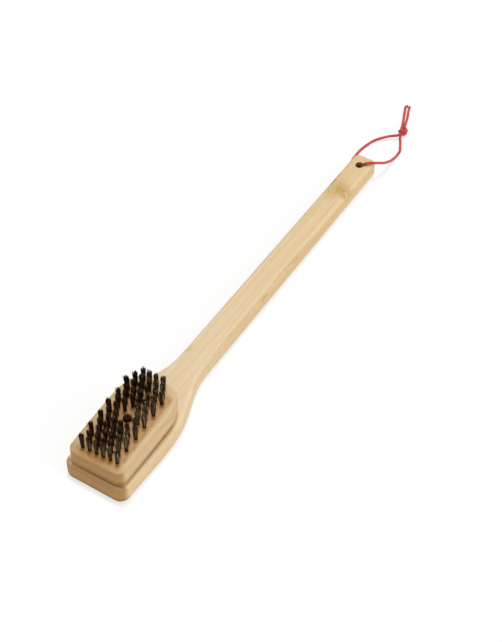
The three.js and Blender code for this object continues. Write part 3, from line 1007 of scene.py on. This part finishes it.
class AddScrew(bpy.types.Operator):
    """Add the pan-head screw that holds the block"""

    bl_idname = "grill_brush.add_screw"
    bl_label = "Screw"

    def execute(self, context):
        settings = context.scene.grill_brush
        head = settings.head
        centre, _, _ = tuft_field(settings)
        top = BLOCK_HIGH.z + head.screw_height
        piece = as_object(self.body(head, centre, top), "head_screw_steel")
        cut(piece, self.recess(centre, top, head.screw_head))
        finish(piece, screw_material(settings.colours, centre), "screw_steel", "head_screw")
        even_normals(piece)
        return {"FINISHED"}

    def body(self, head, centre, top):
        """A pointed shank under a domed head."""
        low, base = SCREW_LOW.z, BLOCK_HIGH.z
        radius, height, shank = head.screw_head, head.screw_height, head.screw_shank
        rim, flat, point = 0.35, 0.62, 0.004
        seat, lip = 0.97 * radius, 0.1 * height
        dome = []
        for step in range(CURVE_STEPS + 1):
            turn = step * math.pi / 2 / CURVE_STEPS
            rise = height * (rim + (1 - rim) * math.sin(turn))
            dome.append((radius * (flat + (1 - flat) * math.cos(turn)), base + rise))
        profile = [
            (0.0, low), (shank, low + point), (shank, base),
            (seat, base), (radius, base + lip), *dome, (0.0, top),
        ]
        return turned(profile, centre, steps=40)

    def recess(self, centre, top, radius):
        """Cutter of the cross recess, narrower at its bottom."""
        length, width, depth = 1.15 * radius, 0.28 * radius, 0.003
        narrowing = (0.45, 0.6, 1)
        size = Matrix.Diagonal((length, width, depth, 1))
        place = Matrix.Translation((*centre, top))
        bm = bmesh.new()
        for degrees in (25, 115):
            turn = Matrix.Rotation(math.radians(degrees), 4, "Z")
            made = bmesh.ops.create_cube(bm, size=1.0)["verts"]
            lower = [vert for vert in made if vert.co.z < 0]
            bmesh.ops.scale(bm, verts=lower, vec=narrowing)
            bmesh.ops.transform(bm, matrix=place @ turn @ size, verts=made)
        return bm


class AddCord(bpy.types.Operator):
    """Add the hanging cord: two strands from the hang hole, tied in one knot"""

    bl_idname = "grill_brush.add_cord"
    bl_label = "Cord"

    def execute(self, context):
        settings = context.scene.grill_brush
        cord = settings.cord
        hole = hang_hole_centre(settings.handle)
        # Centre of the painted shade on the cord in the hang hole.
        painted_shading = (*hole, HANDLE_HIGH.z)
        knot = self.tube("cord_knot_tied", self.knot_line(cord), cord, closed=True)
        material = cord_material("cord_braid_knot", settings.colours, KNOT_CORD, painted_shading)
        finish(knot, material, "cord", "cord_knot")
        strands = (
            ("cord_over", STRAND_OVER, ["cord_tail_2"]),
            ("cord_under", STRAND_UNDER, ["cord_loop", "cord_tail_1"]),
        )
        for name, route, nodes in strands:
            points = [
                (hole[0] + along, across, cord.rest + share * HANDLE_HIGH.z)
                for along, across, share in route
            ]
            line = self.evenly(smooth_line(points, steps=12), cord.spacing)
            length = line_length(line)
            strand = self.tube(name, line, cord)
            material = cord_material(name + "_braid", settings.colours, length, painted_shading)
            finish(strand, material, "cord", *nodes)
        return {"FINISHED"}

    def evenly(self, line, spacing):
        """Points on a line, the same distance apart."""
        total = line_length(line)
        gap = total / round(total / spacing)
        points, gone = [line[0]], 0.0
        for start, stop in zip(line, line[1:]):
            step = (stop - start).length
            while gone + step >= gap * len(points) - ROUNDING and step > 0:
                share = (gap * len(points) - gone) / step
                points.append(start.lerp(stop, share))
            gone += step
        return points

    def knot_line(self, cord):
        """A closed ball of a knot that lies on the floor, wound round the strands."""
        middle = (KNOT_LOW + KNOT_HIGH) / 2
        ring, wrap, rise, lean = 0.0021, 0.0013, 0.0031, 0.34
        rounds, coils, steps = 2, 5, 160
        middle.z = ring + wrap + cord.diameter / 2
        axis = Vector((1.0, 0.15, 0.0)).normalized()
        side = Vector((-axis.y, axis.x, 0.0))
        line = []
        for step in range(steps):
            turn = step * math.tau / steps
            out = ring + wrap * math.cos(coils * turn)
            bend = rounds * turn - lean
            around = Vector((0, 0, math.sin(bend))) - side * math.cos(bend)
            line.append(middle + around * out + axis * rise * math.sin(coils * turn))
        return line

    def tube(self, name, line, cord, closed=False):
        """A round cord along a line."""
        curve = bpy.data.curves.new(name, "CURVE")
        curve.dimensions = "3D"
        curve.bevel_depth = cord.diameter / 2
        curve.bevel_resolution = 4
        curve.use_fill_caps = True
        spline = curve.splines.new("POLY")
        spline.points.add(len(line) - 1)
        for point, place in zip(spline.points, line):
            point.co = (*place, 1.0)
        spline.use_cyclic_u = closed
        spline.use_smooth = True
        return new_object(name, curve)


class AddStage(bpy.types.Operator):
    """Add the camera, the lights and the pale floor"""

    bl_idname = "grill_brush.add_stage"
    bl_label = "Stage"

    def execute(self, context):
        stage = context.scene.grill_brush.stage
        self.add_camera(context.scene, stage)
        self.add_lights(context.scene, stage)
        self.add_floor(context.scene.grill_brush.colours, stage)
        context.scene.view_settings.view_transform = "Standard"
        return {"FINISHED"}

    def add_camera(self, scene, stage):
        camera = bpy.data.cameras.new("camera")
        camera.sensor_fit = "VERTICAL"
        camera.sensor_height = SENSOR_HEIGHT
        camera.lens = stage.lens
        made = new_object("camera", camera)
        toward = Vector(stage.aim) - Vector(stage.camera)
        turn = toward.to_track_quat("-Z", "Y").to_matrix() @ Matrix.Rotation(stage.roll, 3, "Z")
        made.matrix_world = Matrix.Translation(stage.camera) @ turn.to_4x4()
        scene.camera = made

    def add_lights(self, scene, stage):
        for name, degrees, toward in SUNS:
            sun = bpy.data.lights.new(name, "SUN")
            sun.energy = getattr(stage, name)
            sun.angle = math.radians(degrees)
            made = new_object(name, sun)
            made.rotation_euler = Vector(toward).to_track_quat("-Z", "Y").to_euler()
        world = bpy.data.worlds.new("studio")
        world.use_nodes = True
        scene.world = world
        nodes = Nodes(world.node_tree)
        across = nodes.axis(nodes.add("TexCoord").outputs["Generated"], "Y")
        right, left = 1.35 * stage.sky, 0.55 * stage.sky
        soft = nodes.remap(across, -1.0, 1.0, right, left)
        light = self.seen_white(nodes)
        strength = nodes.add("MapRange", {"Value": light, "To Min": soft, "To Max": 1.0})
        back = world.node_tree.nodes["Background"]
        nodes.fill(back, {"Color": (1.0, 1.0, 1.0, 1.0), "Strength": strength.outputs["Result"]})

    def seen_white(self, nodes):
        """1 for rays that show the background, in the picture or mirrored, and 0 for light."""
        path = nodes.add("LightPath").outputs
        mirrored = nodes.math("MAXIMUM", path["Is Glossy Ray"], path["Is Transmission Ray"])
        return nodes.math("MAXIMUM", path["Is Camera Ray"], mirrored)

    def add_floor(self, colours, stage):
        half_size, glow_strength, fade = 4.0, 1.1, 0.005
        bm = bmesh.new()
        bmesh.ops.create_grid(bm, x_segments=1, y_segments=1, size=half_size)
        floor = as_object(bm, "floor")
        material, nodes, shader, place = new_material("pale_floor")
        matt = {"Roughness": 1.0, "Specular IOR Level": 0.0}
        nodes.fill(shader, {"Base Color": rgba(colours.floor), **matt})
        glow = nodes.add("Emission", {"Color": (1.0, 1.0, 1.0, 1.0), "Strength": glow_strength})
        along, front = nodes.axis(place, "X"), HANDLE_LOW.x
        # More glow in front of the paddle: painted light that pales the shadow there.
        white = nodes.remap(along, front - fade, front, stage.front_glow, stage.floor_glow)
        share = nodes.times(self.seen_white(nodes), white)
        mixed = nodes.add(
            "MixShader", {0: share, 1: shader.outputs["BSDF"], 2: glow.outputs["Emission"]}
        )
        nodes.fill(nodes.tree.nodes["Material Output"], {"Surface": mixed.outputs[0]})
        floor.data.materials.append(material)


class GRILLBRUSH_PT_pieces(bpy.types.Panel):
    """Pieces of the grill brush, in the order they are built"""

    bl_label = "Grill Brush"
    bl_space_type = "VIEW_3D"
    bl_region_type = "UI"
    bl_category = "Grill Brush"

    def draw(self, context):
        for operator in OPERATORS:
            self.layout.operator(operator.bl_idname)
        settings = context.scene.grill_brush
        for group in ("handle", "head", "tufts", "cord", "colours", "stage"):
            box = self.layout.box()
            box.label(text=group.capitalize())
            sizes = getattr(settings, group)
            for name in sizes.__annotations__:
                box.prop(sizes, name)


OPERATORS = (AddStage, AddCord, AddHandle, AddHeadBlock, AddBristles, AddScrew)
GROUPS = (
    HandleSizes, HeadSizes, TuftSizes, CordSizes, FinishColours, StageSizes, BrushSettings,
)
CLASSES = (*GROUPS, *OPERATORS, GRILLBRUSH_PT_pieces)


def register():
    for made in CLASSES:
        bpy.utils.register_class(made)
    bpy.types.Scene.grill_brush = PointerProperty(type=BrushSettings)


def unregister():
    del bpy.types.Scene.grill_brush
    for made in reversed(CLASSES):
        bpy.utils.unregister_class(made)


def main():
    register()
    for operator in OPERATORS:
        family, name = operator.bl_idname.split(".")
        getattr(getattr(bpy.ops, family), name)()


if __name__ == "__main__":
    main()
